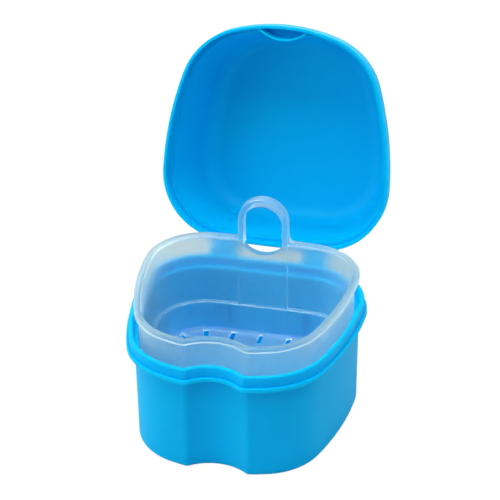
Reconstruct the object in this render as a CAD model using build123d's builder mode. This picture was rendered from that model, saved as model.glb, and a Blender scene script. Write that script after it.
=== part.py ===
"""Denture case: an open tub, a deep hinged lid, and a lift-out strainer basket with a finger loop.

Millimetres, +Z up, front of the case towards -Y.  The origin is the centre of the tub's flat
underside.  The lid is drawn shut on its own seat and then swung open about the hinge pins.
"""

from build123d import *
from math import acos, atan2, cos, degrees, hypot, radians, sin, sqrt, tan
import os

# ---------------------------------------------------------------- driving dimensions
# Plan outline, measured at the tub's shoulder, the widest line of the case
case_width = 80.0
case_depth = 77.8
widest_y = 16.0             # the sides bulge most behind the middle
front_radius = 60.0
side_radius = 115.0
back_radius = 300.0
front_reach = 17.88         # half the width over which the front arc runs, up to the corners
rear_corner_radius = 23.0
cleft_radius = 12.4         # concave arc that parts the two front lobes
cleft_depth = 4.64
lobe_radius = 2.5           # rounding of the lobe edges beside the cleft

# Tub
shoulder_height = 36.9
shoulder_thickness = 1.3
shoulder_overhang = 2.7     # how far the shoulder stands out from the wall below it
shoulder_round = 0.35
tub_wall = 1.45
tub_floor = 2.0
tub_draft = 0.7             # degrees
tub_foot_radius = 1.8
tub_inner_foot_radius = 1.6
lip_height = 3.9
lip_inset = 0.9
lip_wall = 1.6
lip_round = 0.7
rib_count = 8
rib_thickness = 1.6
rib_start_angle = 22.5      # degrees, so that no rib meets the cleft

# Strainer basket
basket_rise = 9.2           # rim of the basket above the tub's lip
basket_clearance = 0.35     # between the basket's wall and the tub's, at the tub's mouth
basket_seat_gap = 0.3       # between the basket's step and the ribs below it
basket_wall = 1.0
basket_floor = 1.2
basket_draft = 1.1          # degrees
basket_depth = 36.2         # inside, rim to floor
basket_step_depth = 25.6    # rim to the step in the wall
basket_step = 1.4
basket_foot_radius = 1.8
flange_inset = 2.8          # rim flange, from the case outline
flange_set_back = 0.5       # the flange sits back so that the lid's front swings past it
flange_thickness = 1.6
flange_round = 0.4

# Strap and finger loop at the back of the basket
strap_width = 17.6
strap_proud = 1.45          # how far the strap stands out from the wall at the rim
strap_draft = 1.6           # degrees
strap_edge_radius = 0.45
loop_rise = 16.7            # top of the loop above the rim
loop_depth = 3.9            # front to back
loop_leg = 1.9
loop_crown = 2.4
loop_hole_sink = 4.8        # bottom of the finger hole below the rim
loop_hole_sag = 3.3         # bow of the hole's bottom edge
loop_base_radius = 2.2
loop_edge_radius = 0.4

# Drain slots round the basket's floor
slot_width = 1.9
slot_length = 6.8
slot_pitch = 10.1
slot_wall_gap = 0.9         # from the slots' ends to the foot of the wall

# Lid
lid_height = 35.5
lid_wall = 1.05
lid_seam = 0.3              # open line between shoulder and lid when shut
lid_band_height = 5.0
lid_band_overhang = 0.4     # the band stands out past the shoulder
lid_band_round = 0.4
lid_wall_inset = 0.5
lid_side_draft = 11.0       # degrees, from the band to the lid's top
lid_front_draft = 13.0
lid_back_draft = 0.5
lid_wall_bow = 0.9          # the side and front walls bulge by this much at half their height
lid_top_radius = 7.5
bead_proud = 0.6
lip_clearance = 0.25        # between the tub's lip and the skirt round it
lip_top_clearance = 0.3
tab_wall = 0.5              # web behind the finger tab, along the cleft
tab_clearance = 0.75        # between that web and the tub's lip

# Hinge
open_angle = 105.6
hinge_back = 4.4            # pin axis behind the shoulder
hinge_rise = 1.1            # pin axis above the shoulder
pin_radius = 0.9
pin_chamfer = 0.15
pin_running_clearance = 0.05
pin_press = 0.01
knuckle_radius = 2.4
knuckle_width = 5.6
knuckle_centre_x = 16.7
knuckle_arm_height = 3.6
ear_wall = 1.8
ear_side_gap = 0.3
ear_radius = 2.6
ear_foot_drop = 3.6         # top of the ears' gusset below the shoulder
ear_foot_height = 7.0
stop_gap = 0.3              # between the ears' stop faces and the open lid
stop_length = 3.4

# ---------------------------------------------------------------- worked-out places
half_width = case_width / 2
half_depth = case_depth / 2
lip_top = shoulder_height + lip_height
lip_inner = lip_inset + lip_wall
lid_seat = shoulder_height + lid_seam
lid_band_inset = -lid_band_overhang
skirt_depth = lip_top + lip_top_clearance - lid_seat
skirt_inset = lip_inset - lip_clearance
web_inset = lip_inset - tab_clearance
tub_inner = shoulder_overhang + tub_wall
rim_top = lip_top + basket_rise
basket_inset = tub_inner + basket_clearance
basket_floor_top = rim_top - basket_depth
basket_step_top = rim_top - basket_step_depth
hinge_y = half_depth + hinge_back
hinge_z = shoulder_height + hinge_rise
hinge_axis = Axis((0, hinge_y, hinge_z), (1, 0, 0))
station_width = knuckle_width + 2 * (ear_side_gap + ear_wall)


def tub_inset(inset, height):
    """Inset of a drafted tub wall at a height, from its inset at the shoulder."""
    return inset + (shoulder_height - height) * tan(radians(tub_draft))


def wall_inset(height):
    """Inset of the basket wall's outer face at a height, above the step."""
    return basket_inset + (shoulder_height - height) * tan(radians(basket_draft))


def strap_face(height):
    """Where the strap's front face is at a height, as a distance along Y."""
    rim_face = half_depth - wall_inset(rim_top) - basket_wall - strap_proud
    return rim_face - (rim_top - height) * tan(radians(strap_draft))


# ---------------------------------------------------------------- the case outline
def crossing(centre_1, reach_1, centre_2, reach_2, rearmost=False):
    """Point at the given distances from two centres, on the side where x is positive."""
    dx, dy = centre_2[0] - centre_1[0], centre_2[1] - centre_1[1]
    span = hypot(dx, dy)
    along = (reach_1**2 - reach_2**2 + span**2) / (2 * span)
    across = sqrt(reach_1**2 - along**2)
    foot = (centre_1[0] + along * dx / span, centre_1[1] + along * dy / span)
    both = [(foot[0] - s * across * dy / span, foot[1] + s * across * dx / span) for s in (1, -1)]
    right = [point for point in both if point[0] > 0]
    return (max if rearmost else min)(right, key=lambda point: point[1])


def bearing(start, end):
    """Direction from one point to another, in degrees."""
    return degrees(atan2(end[1] - start[1], end[0] - start[0]))


front_centre = (0, front_radius - half_depth)
side_centre = (half_width - side_radius, widest_y)
back_centre = (0, half_depth - back_radius)
cleft_centre = (0, cleft_depth - half_depth - cleft_radius)
front_turn = -degrees(acos(front_reach / front_radius))

# The front corner's arc leaves the front arc at the turn and meets the side arc
turn_x, turn_y = cos(radians(front_turn)), sin(radians(front_turn))
span_x = front_radius * turn_x - side_centre[0]
span_y = front_centre[1] + front_radius * turn_y - side_centre[1]
front_corner_radius = (
    (side_radius**2 - span_x**2 - span_y**2)
    / (2 * (side_radius - span_x * turn_x - span_y * turn_y))
)
corner_reach = front_radius - front_corner_radius
front_corner = (corner_reach * turn_x, front_centre[1] + corner_reach * turn_y)
rear_corner = crossing(
    side_centre, side_radius - rear_corner_radius,
    back_centre, back_radius - rear_corner_radius, rearmost=True,
)


def lobe_centre(inset):
    """Centre of the lobe's rounding, tangent to the front arc and to the cleft."""
    front_reach = front_radius - inset - lobe_radius
    return crossing(front_centre, front_reach, cleft_centre, cleft_radius + inset + lobe_radius)


def draw_right_side(inset, front_start):
    """Lines of the outline's right side, from the front round to the middle of the back."""
    side_start = bearing(side_centre, front_corner)
    side_end = bearing(side_centre, rear_corner)
    back_turn = bearing(back_centre, rear_corner)
    CenterArc(front_centre, front_radius - inset, front_start, front_turn - front_start)
    CenterArc(front_corner, front_corner_radius - inset, front_turn, side_start - front_turn)
    CenterArc(side_centre, side_radius - inset, side_start, side_end - side_start)
    CenterArc(rear_corner, rear_corner_radius - inset, side_end, back_turn - side_end)
    CenterArc(back_centre, back_radius - inset, back_turn, 90 - back_turn)


def case_outline(inset, cleft=True):
    """The case's plan outline, drawn parallel to its edge and that far inside it."""
    with BuildSketch() as outline:
        with BuildLine():
            if cleft:
                lobe = lobe_centre(inset)
                lobe_start = bearing(cleft_centre, lobe)
                lobe_end = bearing(front_centre, lobe)
                CenterArc(cleft_centre, cleft_radius + inset, 90, lobe_start - 90)
                CenterArc(lobe, lobe_radius, lobe_start + 180, lobe_end - lobe_start + 180)
                draw_right_side(inset, lobe_end)
            else:
                draw_right_side(inset, -90)
            mirror(about=Plane.YZ)
        make_face()
    return outline.sketch


def back_edge(across, inset):
    """How far back the outline runs at a distance from the middle, that far inside its edge."""
    back_end = back_radius * cos(radians(bearing(back_centre, rear_corner)))
    if across < back_end:
        centre, radius = back_centre, back_radius
    else:
        centre, radius = rear_corner, rear_corner_radius
    return centre[1] + sqrt((radius - inset) ** 2 - (across - centre[0]) ** 2)


def at_height(edges, height):
    """The edges that lie flat at a height."""
    return edges.filter_by_position(Axis.Z, height - 0.01, height + 0.01)


def plate(bottom, top, inset, cleft=True, top_round=0):
    """Straight-sided slab of the case outline."""
    with BuildPart() as slab:
        with BuildSketch(Plane.XY.offset(bottom)):
            add(case_outline(inset, cleft))
        extrude(amount=top - bottom)
        if top_round:
            fillet(at_height(slab.edges(), top), top_round)
    return slab.part


def drafted(bottom, top, bottom_inset, top_inset, foot_round=0):
    """Slab of the case outline with its sides drafted from one inset to another."""
    with BuildPart() as slab:
        for height, inset in ((bottom, bottom_inset), (top, top_inset)):
            with BuildSketch(Plane.XY.offset(height)):
                add(case_outline(inset))
        loft(ruled=True)
        if foot_round:
            fillet(at_height(slab.edges(), bottom), foot_round)
    return slab.part


# ---------------------------------------------------------------- tub
ear_places = [
    side * knuckle_centre_x + hand * (knuckle_width / 2 + ear_side_gap + ear_wall / 2)
    for side in (-1, 1)
    for hand in (-1, 1)
]
station_inner_x = knuckle_centre_x - station_width / 2
station_bow = back_radius - sqrt(back_radius**2 - station_inner_x**2)
stop_reach = hinge_back - lid_band_overhang - stop_gap + station_bow
relief_back = half_depth + lid_band_overhang + stop_gap
swing = radians(open_angle)
stop_out = (-cos(swing), sin(swing))       # from the axis, square to the open lid's back
stop_along = (sin(swing), cos(swing))      # along the open lid's back, away from the tub


def from_axis(out, along):
    """Point in the hinge's side view, measured from the pin with the lid open."""
    return (
        hinge_y + out * stop_out[0] + along * stop_along[0],
        hinge_z + out * stop_out[1] + along * stop_along[1],
    )


def hull_with_disc(radius, first, second):
    """Side-view profile: the hull of a disc round the pin and a straight edge."""
    with BuildSketch() as profile:
        with BuildLine():
            CenterArc((hinge_y, hinge_z), radius, 0, 360)
            Line(first, second)
        make_hull()
    return profile.sketch


with BuildPart() as tub:
    add(
        drafted(
            0, shoulder_height, tub_inset(shoulder_overhang, 0), shoulder_overhang, tub_foot_radius
        )
    )
    add(plate(shoulder_height - shoulder_thickness, shoulder_height, 0, top_round=shoulder_round))
    add(plate(shoulder_height, lip_top, lip_inset))
    add(
        drafted(
            tub_floor, shoulder_height, tub_inset(tub_inner, tub_floor), tub_inner,
            tub_inner_foot_radius,
        ),
        mode=Mode.SUBTRACT,
    )
    add(plate(shoulder_height, lip_top, lip_inner), mode=Mode.SUBTRACT)
    fillet(at_height(tub.edges(), lip_top), lip_round)
    # Ribs up the inside of the wall, which carry the basket by its step
    rib_top = basket_step_top - basket_wall - basket_seat_gap
    with BuildSketch(Plane.XY.offset(tub_floor)):
        with PolarLocations(0, rib_count, start_angle=rib_start_angle):
            Rectangle(case_width, rib_thickness, align=(Align.MIN, Align.CENTER))
        add(case_outline(tub_inner - tub_wall / 2), mode=Mode.INTERSECT)
        add(case_outline(wall_inset(rib_top) + basket_step - basket_seat_gap), mode=Mode.SUBTRACT)
    extrude(amount=rib_top - tub_floor)
    # Ears either side of each knuckle, with a stop behind the pin and a gusset down the wall
    foot_top = shoulder_height - ear_foot_drop
    for place in ear_places:
        foot_y = back_edge(abs(place) + ear_wall / 2, shoulder_overhang + tub_wall / 2)
        with BuildSketch(Plane.YZ.offset(place - ear_wall / 2)):
            add(hull_with_disc(ear_radius, (foot_y, foot_top), (foot_y, foot_top - ear_foot_height)))
            with Locations((relief_back, shoulder_height)):
                Rectangle(hinge_back, hinge_back, align=(Align.MAX, Align.MIN), mode=Mode.SUBTRACT)
            add(hull_with_disc(ear_radius, from_axis(stop_reach, 0), from_axis(stop_reach, stop_length)))
        extrude(amount=ear_wall)
    for side in (-1, 1):
        with BuildSketch(Plane.YZ.offset(side * knuckle_centre_x)):
            with Locations((hinge_y, hinge_z)):
                Circle(pin_radius - pin_press)
        extrude(amount=station_width, both=True, mode=Mode.SUBTRACT)

# ---------------------------------------------------------------- strainer basket
step_underside = basket_step_top - basket_wall
floor_underside = basket_floor_top - basket_floor
basket_inner_foot = basket_foot_radius - basket_wall
flange_bottom = rim_top - flange_thickness
lower_step = basket_step + basket_wall

# Finger loop, front view: x across, y up from the rim
leg_out = strap_width / 2
crown_height = loop_rise - leg_out
hole_half = leg_out - loop_leg
hole_crown_height = loop_rise - loop_crown - hole_half
hole_side_foot = loop_hole_sag - loop_hole_sink
loop_front = strap_face(rim_top)
loop_back = loop_front + loop_depth
rim_inner_face = half_depth - wall_inset(rim_top) - basket_wall


def front_view(y):
    """Plane seen from the front, its origin on the rim at the case's middle."""
    return Plane(origin=(0, y, rim_top), x_dir=(1, 0, 0), z_dir=(0, -1, 0))


with BuildPart() as finger_loop:
    with BuildSketch(front_view(loop_back)):
        with Locations((0, crown_height)):
            Circle(leg_out)
            Rectangle(strap_width, crown_height + flange_thickness, align=(Align.CENTER, Align.MAX))
    extrude(amount=loop_depth)
    rims = finger_loop.edges().filter_by_position(Axis.Z, rim_top, rim_top + loop_rise, (False, True))
    fillet(rims.filter_by(lambda edge: edge.length > loop_depth + flange_round), loop_edge_radius)
    # Webs that spread the legs onto the rim
    with BuildSketch(front_view(loop_back)):
        with Locations((leg_out + loop_base_radius, loop_base_radius)):
            Rectangle(
                loop_base_radius + loop_leg / 2, loop_base_radius + flange_thickness / 2,
                align=(Align.MAX, Align.MAX),
            )
            Circle(loop_base_radius, mode=Mode.SUBTRACT)
        mirror(about=Plane.YZ)
    extrude(amount=loop_back - rim_inner_face)

with BuildSketch(front_view(loop_back)) as finger_hole:
    with BuildLine():
        Line((-hole_half, hole_side_foot), (-hole_half, hole_crown_height))
        ThreePointArc(
            (-hole_half, hole_crown_height), (0, hole_crown_height + hole_half),
            (hole_half, hole_crown_height),
        )
        Line((hole_half, hole_crown_height), (hole_half, hole_side_foot))
        ThreePointArc((hole_half, hole_side_foot), (0, -loop_hole_sink), (-hole_half, hole_side_foot))
    make_face()


def wall_middle(height, step):
    """Middle of the back wall's thickness at a height, as a distance along Y."""
    return half_depth - wall_inset(height) - step - basket_wall / 2


# Strap up the inside of the back wall, in side view
floor_middle = basket_floor_top - basket_floor / 2
with BuildPart() as strap:
    with BuildSketch(Plane.YZ):
        with BuildLine():
            Polyline(
                (loop_front, rim_top),
                (wall_middle(rim_top, 0), rim_top),
                (wall_middle(step_underside, 0), step_underside),
                (wall_middle(step_underside, basket_step), step_underside),
                (wall_middle(floor_middle, basket_step), floor_middle),
                (strap_face(floor_middle), floor_middle),
                close=True,
            )
        make_face()
    extrude(amount=leg_out, both=True)
    front_face = strap.faces().sort_by(Axis.Y)[0]
    fillet(front_face.edges().filter_by(Axis.X, reverse=True), strap_edge_radius)

with BuildPart() as basket:
    add(
        drafted(
            floor_underside, step_underside,
            wall_inset(floor_underside) + basket_step, wall_inset(step_underside) + basket_step,
            basket_foot_radius,
        )
    )
    add(drafted(step_underside, rim_top, wall_inset(step_underside), wall_inset(rim_top)))
    with BuildSketch(Plane.XY.offset(flange_bottom)):
        with Locations((0, flange_set_back)):
            add(case_outline(flange_inset))
    extrude(amount=flange_thickness)
    add(
        drafted(
            basket_floor_top, basket_step_top,
            wall_inset(basket_floor_top) + lower_step, wall_inset(basket_step_top) + lower_step,
            basket_inner_foot,
        ),
        mode=Mode.SUBTRACT,
    )
    add(
        drafted(
            basket_step_top, rim_top,
            wall_inset(basket_step_top) + basket_wall, wall_inset(rim_top) + basket_wall,
        ),
        mode=Mode.SUBTRACT,
    )
    fillet(at_height(basket.edges(), rim_top), flange_round)
    add(strap.part)
    add(finger_loop.part)
    extrude(finger_hole.sketch, amount=2 * loop_depth, both=True, mode=Mode.SUBTRACT)
    # Drain slots, square to the wall and evenly spaced round its foot
    with BuildLine(mode=Mode.PRIVATE) as slot_row:
        draw_right_side(
            wall_inset(basket_floor_top) + lower_step + slot_wall_gap,
            bearing(front_centre, lobe_centre(wall_inset(basket_floor_top) + lower_step)),
        )
    row = slot_row.wires()[0]
    with BuildSketch(Plane.XY.offset(floor_underside)):
        for number in range(int(row.length / slot_pitch) + 1):
            reach = row.length - number * slot_pitch
            place = row.position_at(reach, PositionMode.LENGTH)
            along = row.tangent_at(reach, PositionMode.LENGTH)
            turn = degrees(atan2(along.Y, along.X))
            with Locations(Location((place.X, place.Y), turn + 90)):
                SlotOverall(slot_length, slot_width, align=(Align.MIN, Align.CENTER))
        mirror(about=Plane.YZ)
    extrude(amount=basket_floor, mode=Mode.SUBTRACT)

# ---------------------------------------------------------------- lid, shut
skirt_top = lid_seat + skirt_depth
band_top = lid_seat + lid_band_height
lid_top = lid_seat + lid_height


def crown(depth):
    """Part of the lid above its band, that far inside its skin, with a rounded top edge.

    The front is drafted most and the back least, so the top sits towards the hinge.
    """
    base_inset = lid_wall_inset + depth
    rise = lid_top - depth - band_top
    drafts = (lid_side_draft, lid_front_draft, lid_back_draft)
    side, front, back = (rise * tan(radians(draft)) for draft in drafts)
    with BuildPart() as body:
        for share, bow in ((0, 0), (0.5, lid_wall_bow), (1, 0)):
            narrowing = side * share - bow
            front_lean = front * share - bow
            back_lean = back * share
            with BuildSketch(Plane.XY.offset(band_top + rise * share)):
                with Locations((0, (front_lean - back_lean) / 2)):
                    outline = case_outline(base_inset, cleft=False)
                    narrower = 1 - narrowing / (half_width - base_inset)
                    shorter = 1 - (front_lean + back_lean) / (2 * (half_depth - base_inset))
                    add(scale(outline, (narrower, shorter, 1), mode=Mode.PRIVATE))
        loft()
        fillet(at_height(body.edges(), band_top + rise), lid_top_radius - depth)
    return body.part


def inside_skirt(inset):
    """Outline inside the lid's foot: inset all round, and up to the finger tab's web."""
    with BuildSketch() as outline:
        add(case_outline(inset, cleft=False))
        add(case_outline(web_inset), mode=Mode.INTERSECT)
    return outline.sketch


with BuildPart() as shut_lid:
    add(plate(lid_seat, band_top, lid_band_inset, cleft=False, top_round=lid_band_round))
    add(crown(0))
    add(crown(lid_wall), mode=Mode.SUBTRACT)
    # Bead along the foot of the inside, then the skirt that drops round the tub's lip
    with BuildSketch(Plane.XY.offset(skirt_top)):
        add(inside_skirt(lid_wall_inset + lid_wall + bead_proud))
    extrude(amount=band_top - skirt_top, mode=Mode.SUBTRACT)
    with BuildSketch(Plane.XY.offset(lid_seat)):
        add(inside_skirt(skirt_inset))
    extrude(amount=skirt_depth, mode=Mode.SUBTRACT)
    # Pocket between the band and the thin web that follows the cleft: the finger tab
    with BuildSketch(Plane.XY.offset(lid_seat)):
        add(case_outline(skirt_inset, cleft=False))
        add(case_outline(web_inset - tab_wall), mode=Mode.SUBTRACT)
    extrude(amount=skirt_depth, mode=Mode.SUBTRACT)
    # Knuckles
    band_middle = back_edge(knuckle_centre_x + knuckle_width / 2, (lid_band_inset + skirt_inset) / 2)
    for side in (-1, 1):
        with BuildSketch(Plane.YZ.offset(side * knuckle_centre_x - knuckle_width / 2)):
            add(
                hull_with_disc(
                    knuckle_radius, (band_middle, hinge_z), (band_middle, hinge_z + knuckle_arm_height)
                )
            )
            with Locations((hinge_y, hinge_z)):
                Circle(pin_radius + pin_running_clearance, mode=Mode.SUBTRACT)
        extrude(amount=knuckle_width)

with BuildPart() as lid:
    add(shut_lid.part.rotate(hinge_axis, -open_angle))

# ---------------------------------------------------------------- hinge pins
pins = {}
for name, side in (("hinge_pin_left", -1), ("hinge_pin_right", 1)):
    with BuildPart() as pin:
        with BuildSketch(Plane.YZ.offset(side * knuckle_centre_x - station_width / 2)):
            with Locations((hinge_y, hinge_z)):
                Circle(pin_radius)
        extrude(amount=station_width)
        chamfer(pin.edges().filter_by(GeomType.CIRCLE), pin_chamfer)
    pins[name] = pin

# ---------------------------------------------------------------- write the pieces
os.makedirs("parts", exist_ok=True)
pieces = {"tub": tub, "lid": lid, "strainer_basket": basket, **pins}
for name, piece in pieces.items():
    piece.part.label = name
    export_step(piece.part, f"parts/{name}.step")
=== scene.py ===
# %% [markdown]
# # A denture case in blue and frosted plastic
#
# The object is a moulded tub with a cleft front, a deep lid on two short hinge pins, and a
# frosted strainer basket with a finger loop.  The engineering model already holds every wall,
# rib, slot and hinge at its real size, so this script dresses that model: it gives each piece
# its plastic or steel, sets up a pale studio and points the camera.

import math

import bpy
from mathutils import Matrix, Vector

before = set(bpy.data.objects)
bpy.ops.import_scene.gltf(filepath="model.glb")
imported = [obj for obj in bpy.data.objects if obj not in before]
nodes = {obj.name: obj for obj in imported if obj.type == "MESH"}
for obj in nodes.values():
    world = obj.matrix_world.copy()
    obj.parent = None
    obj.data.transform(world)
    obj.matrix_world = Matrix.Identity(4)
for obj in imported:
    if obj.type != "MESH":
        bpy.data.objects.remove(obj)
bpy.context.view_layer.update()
MM = 0.001
print("nodes:", sorted(nodes))

# %% [markdown]
# ## Writing shader maths as plain expressions
#
# A material is a graph of nodes, and graphs are hard to read in code.  One small class wraps a
# node's output, so that `0.35 + 0.1 * grain` adds the Math nodes it needs by itself.  Everything
# else, such as a noise texture or a bump, comes from one method that takes the node's type, its
# settings and what goes into its sockets.


# %% A socket that does arithmetic
class Signal:
    """One output socket of a shader node, with + - and * that add Math nodes."""

    def __init__(self, net, socket):
        self.net = net
        self.socket = socket

    def _math(self, operation, first, second):
        return self.net.add("ShaderNodeMath", {"operation": operation}, {0: first, 1: second})

    def __add__(self, other):
        return self._math("ADD", self, other)

    __radd__ = __add__

    def __mul__(self, other):
        return self._math("MULTIPLY", self, other)

    __rmul__ = __mul__

    def __sub__(self, other):
        return self._math("SUBTRACT", self, other)

    def __rsub__(self, other):
        return self._math("SUBTRACT", other, self)


class Net:
    """The node graph of one material or of the world."""

    def __init__(self, tree, output):
        tree.nodes.clear()
        self.tree = tree
        self.output = tree.nodes.new(output)

    def add(self, kind, settings=None, sockets=None, out=0):
        """Add a node, apply its settings, fill its sockets with values or links.

        Returns the output that `out` names.
        """
        node = self.tree.nodes.new(kind)
        for name, value in (settings or {}).items():
            setattr(node, name, value)
        for name, value in (sockets or {}).items():
            self.feed(node.inputs[name], value)
        return Signal(self, node.outputs[out])

    def feed(self, socket, value):
        if isinstance(value, Signal):
            self.tree.links.new(value.socket, socket)
        else:
            socket.default_value = value

    def either(self, *rays):
        """1 where the ray is of any of two kinds that Light Path names, 0 elsewhere."""
        first, second = (self.add("ShaderNodeLightPath", out=kind) for kind in rays)
        return self.add("ShaderNodeMath", {"operation": "MAXIMUM"}, {0: first, 1: second})

    def finish(self, surface):
        self.feed(self.output.inputs["Surface"], surface)


def new_material(name):
    material = bpy.data.materials.new(name)
    material.use_nodes = True
    return material, Net(material.node_tree, "ShaderNodeOutputMaterial")


print("shader helpers ready")

# %% [markdown]
# ## Moulded plastic
#
# Injection-moulded polypropylene is even in colour but never quite flat: the mould's fine spark
# texture breaks up the highlights, the melt leaves faint cloudy streaks, and walls sink a little
# where they are thick.  An image texture could hold all this, but it would need an unwrapped
# surface and would stretch on the curved walls.  Two noises on the piece's own coordinates do
# it without: a fine one for the texture, and a slow one for the streaks and the sink.

# %% The finish that the blue and the frosted plastic share
CLOUDS_PER_METRE = 38.0  # streaks about 25 mm across
GRAINS_PER_METRE = 2600.0  # spark texture about 0.4 mm across
GRAIN_DEPTH = 0.25  # depth of the texture, as a share of the sink's
GLOSS_FROM_GRAIN = 0.1
GLOSS_FROM_CLOUDS = 0.06
RELIEF = {"Strength": 0.12, "Distance": 0.2 * MM}


def moulded(net, colour, streak_colour, roughness, sockets):
    """Principled surface whose colour drifts to streak_colour in soft clouds.

    Its roughness is the given one, plus a little of each noise about its middle value.
    """
    place = net.add("ShaderNodeTexCoord", out="Object")
    clouds, grain = (
        net.add(
            "ShaderNodeTexNoise",
            {"noise_dimensions": "3D"},
            {"Vector": place, "Scale": scale, "Detail": detail},
        )
        for scale, detail in ((CLOUDS_PER_METRE, 3.0), (GRAINS_PER_METRE, 2.0))
    )
    tint = net.add(
        "ShaderNodeMix",
        {"data_type": "RGBA"},
        {"Factor": clouds, "A": colour, "B": streak_colour},
        out="Result",
    )
    gloss = roughness + GLOSS_FROM_GRAIN * (grain - 0.5) + GLOSS_FROM_CLOUDS * (clouds - 0.5)
    relief = net.add("ShaderNodeBump", None, {**RELIEF, "Height": clouds + grain * GRAIN_DEPTH})
    varying = {"Base Color": tint, "Roughness": gloss, "Normal": relief}
    return net.add("ShaderNodeBsdfPrincipled", None, {**varying, **sockets})


print("streaks and grain per metre:", CLOUDS_PER_METRE, GRAINS_PER_METRE)

# %% [markdown]
# ## Blue plastic of the tub and the lid
#
# The tub and the lid are opaque, but light still enters the plastic a few millimetres and comes
# out again, which softens its shaded edges.  A plain diffuse colour would leave those edges hard,
# so most of the colour is made by subsurface scattering.  It spreads least in red, which the
# pigment swallows.  The gloss is kept low: a satin moulding shows no sharp reflections.


# %% Blue plastic
def blue_plastic():
    """Satin sky-blue polypropylene, solid enough to hide what is behind it."""
    material, net = new_material("satin_blue_plastic")
    net.finish(
        moulded(
            net,
            colour=(0.0, 0.40, 0.79, 1.0),
            streak_colour=(0.0, 0.43, 0.82, 1.0),
            roughness=0.42,
            sockets={
                "IOR": 1.49,
                "Specular IOR Level": 0.05,
                "Subsurface Weight": 0.7,
                "Subsurface Radius": (0.3, 1.0, 1.0),
                "Subsurface Scale": 4 * MM,
            },
        )
    )
    return material


blue = blue_plastic()
print("made", blue.name)

# %% [markdown]
# ## Frosted plastic of the basket
#
# The basket is polypropylene with no pigment, in a matt mould.  Alpha would show the tub behind
# it sharp at any distance.  Rough transmission blurs a thing more the further behind the wall it
# lies, as the real plastic does.  Its cost is light: rough glass casts a dark shadow, so the tub
# behind would go black.  Shadow rays and diffuse rays are therefore let almost straight through.


# %% Frosted plastic
def frosted_plastic():
    """Milky natural polypropylene, with a clear way through for the rays that carry light on."""
    material, net = new_material("frosted_natural_plastic")
    wall = moulded(
        net,
        colour=(0.77, 0.955, 0.955, 1.0),
        streak_colour=(0.81, 0.965, 0.965, 1.0),
        roughness=0.5,
        sockets={
            "IOR": 1.36,
            "Transmission Weight": 0.97,
            "Specular IOR Level": 0.15,
            "Specular Tint": (0.8, 0.85, 0.88, 1.0),
        },
    )
    straight_through = net.add("ShaderNodeBsdfTransparent", None, {"Color": (0.90, 0.97, 0.97, 1.0)})
    let_through = 0.85
    carried = let_through * net.either("Is Shadow Ray", "Is Diffuse Ray")
    net.finish(net.add("ShaderNodeMixShader", None, {0: carried, 1: wall, 2: straight_through}))
    return material


frosted = frosted_plastic()
print("made", frosted.name)

# %% [markdown]
# ## Steel of the hinge pins
#
# The pins are cut from stainless wire.  Wire is drawn through a die, which leaves fine scratches
# along it.  Anisotropic gloss could stand for them, but the pins are small and are seen close
# only in the hinge, so a noise stretched along the pin, in its gloss and its relief, is enough.


# %% Drawn steel
def drawn_steel():
    """Stainless wire whose scratches run along the pin, which lies along X."""
    material, net = new_material("drawn_steel")
    place = net.add("ShaderNodeTexCoord", out="Object")
    stretched = net.add(
        "ShaderNodeMapping", None, {"Vector": place, "Scale": (150.0, 9000.0, 9000.0)}
    )
    scratches = net.add(
        "ShaderNodeTexNoise", None, {"Vector": stretched, "Scale": 1.0, "Detail": 2.0}
    )
    relief = net.add(
        "ShaderNodeBump", None, {"Strength": 0.2, "Distance": 0.05 * MM, "Height": scratches}
    )
    net.finish(
        net.add(
            "ShaderNodeBsdfPrincipled",
            None,
            {
                "Base Color": (0.62, 0.62, 0.64, 1.0),
                "Metallic": 1.0,
                "Roughness": 0.22 + 0.15 * scratches,
                "Normal": relief,
            },
        )
    )
    return material


steel = drawn_steel()
print("made", steel.name)

# %% [markdown]
# ## Who wears what
#
# The tub and the lid come from the same plastic, and the two pins from the same wire, so they
# share a material.  Each piece is one moulding or one pin and needs one material all over.

# %% Put the finishes on the model's pieces
finishes = {
    "tub": blue,
    "lid": blue,
    "strainer_basket": frosted,
    "hinge_pin_left": steel,
    "hinge_pin_right": steel,
}


def wear(node, material):
    """Give a piece of the model one material all over."""
    mesh = nodes[node].data
    mesh.materials.clear()
    mesh.materials.append(material)


for name, material in finishes.items():
    wear(name, material)
print("finishes:", {name: material.name for name, material in finishes.items()})


# %% [markdown]
# ## Studio
#
# A product like this is shot on a white sweep.  More light would whiten the ground but burn out
# the pale plastic, so the table is white for the camera alone, the air beyond it also for rays
# through clear plastic, and neither lights the object more than a grey studio would.  Seven
# soft boxes stand round it.  The one overhead is the strongest and lights the basket's floor,
# and the left front one is next, so the facets of the cleft differ in shade.


# %% Floor and world
def floor():
    """Grey table that the camera sees as white, but for the object's soft shadow."""
    half = 6.0
    mesh = bpy.data.meshes.new("studio_floor")
    corners = [(-half, -half, 0), (half, -half, 0), (half, half, 0), (-half, half, 0)]
    mesh.from_pydata(corners, [], [(0, 1, 2, 3)])
    table = bpy.data.objects.new("studio_floor", mesh)
    bpy.context.scene.collection.objects.link(table)
    material, net = new_material("white_sweep")
    lit = net.add("ShaderNodeBsdfDiffuse", None, {"Color": (0.6, 0.6, 0.6, 1.0)})
    glow = net.add("ShaderNodeEmission", None, {"Color": (1.0, 1.0, 1.0, 1.0), "Strength": 1.1})
    glow_share = 0.85
    whitened = net.add("ShaderNodeLightPath", out="Is Camera Ray") * glow_share
    net.finish(net.add("ShaderNodeMixShader", None, {0: whitened, 1: lit, 2: glow}))
    mesh.materials.append(material)


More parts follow.
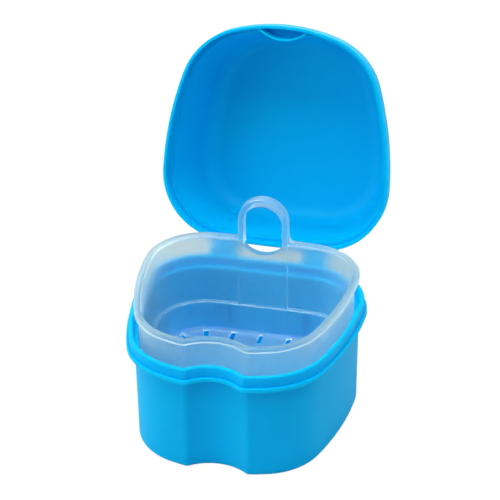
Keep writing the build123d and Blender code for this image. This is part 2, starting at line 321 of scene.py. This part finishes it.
def sky():
    """Even soft fill, and plain white wherever the camera or clear plastic sees past the table."""
    world = bpy.data.worlds.new("studio_air")
    bpy.context.scene.world = world
    world.use_nodes = True
    net = Net(world.node_tree, "ShaderNodeOutputWorld")
    fill = 0.1
    strength = fill + (1 - fill) * net.either("Is Camera Ray", "Is Transmission Ray")
    net.finish(net.add("ShaderNodeBackground", None, {"Color": (1, 1, 1, 1), "Strength": strength}))


floor()
sky()
print("floor and sky ready")

# %% Soft boxes
CASE_MIDDLE = Vector((0.0, 0.02, 0.05))
BOX_SIDE = 0.9
BOXES = {  # place in metres, power in watts
    "left_front_box": ((-0.9, -0.8, 0.6), 7.0),
    "left_box": ((-1.2, -0.1, 0.5), 3.2),
    "right_box": ((0.9, -0.3, 1.0), 3.2),
    "left_back_box": ((-1.1, 0.5, 0.6), 4.0),
    "right_back_box": ((1.1, 0.5, 0.6), 4.0),
    "back_box": ((0.0, 1.2, 0.35), 5.5),
    "top_box": ((0.0, -0.25, 1.2), 13.0),
}


def soft_box(name, place, power):
    """Square area lamp at a place, turned to face the middle of the case."""
    light = bpy.data.lights.new(name, "AREA")
    light.shape = "SQUARE"
    light.size = BOX_SIDE
    light.energy = power
    lamp = bpy.data.objects.new(name, light)
    bpy.context.scene.collection.objects.link(lamp)
    facing = (CASE_MIDDLE - Vector(place)).to_track_quat("-Z", "Y").to_matrix().to_4x4()
    lamp.matrix_world = Matrix.Translation(place) @ facing


for name, (place, power) in BOXES.items():
    soft_box(name, place, power)


# %% [markdown]
# ## Camera
#
# A long lens keeps the walls of a small object close to parallel.  It looks down from the front,
# a little to the right, far enough to see into the basket.


# %% Camera
def camera(place, azimuth, elevation, roll, lens):
    """Camera at a place; azimuth turns it left about the vertical, elevation tips it down."""
    data = bpy.data.cameras.new("camera")
    data.lens = lens
    data.sensor_width = 36.0
    data.clip_start = 0.01
    viewer = bpy.data.objects.new("camera", data)
    bpy.context.scene.collection.objects.link(viewer)
    viewer.matrix_world = (
        Matrix.Translation(place)
        @ Matrix.Rotation(math.radians(azimuth), 4, "Z")
        @ Matrix.Rotation(math.radians(90.0 - elevation), 4, "X")
        @ Matrix.Rotation(math.radians(roll), 4, "Z")
    )
    bpy.context.scene.camera = viewer


camera(
    place=Vector((145.56, -569.13, 409.85)) * MM,
    azimuth=14.01,
    elevation=30.37,
    roll=-0.63,
    lens=148.55,
)
bpy.context.scene.view_settings.view_transform = "Standard"
print("camera lens:", bpy.context.scene.camera.data.lens, "mm")
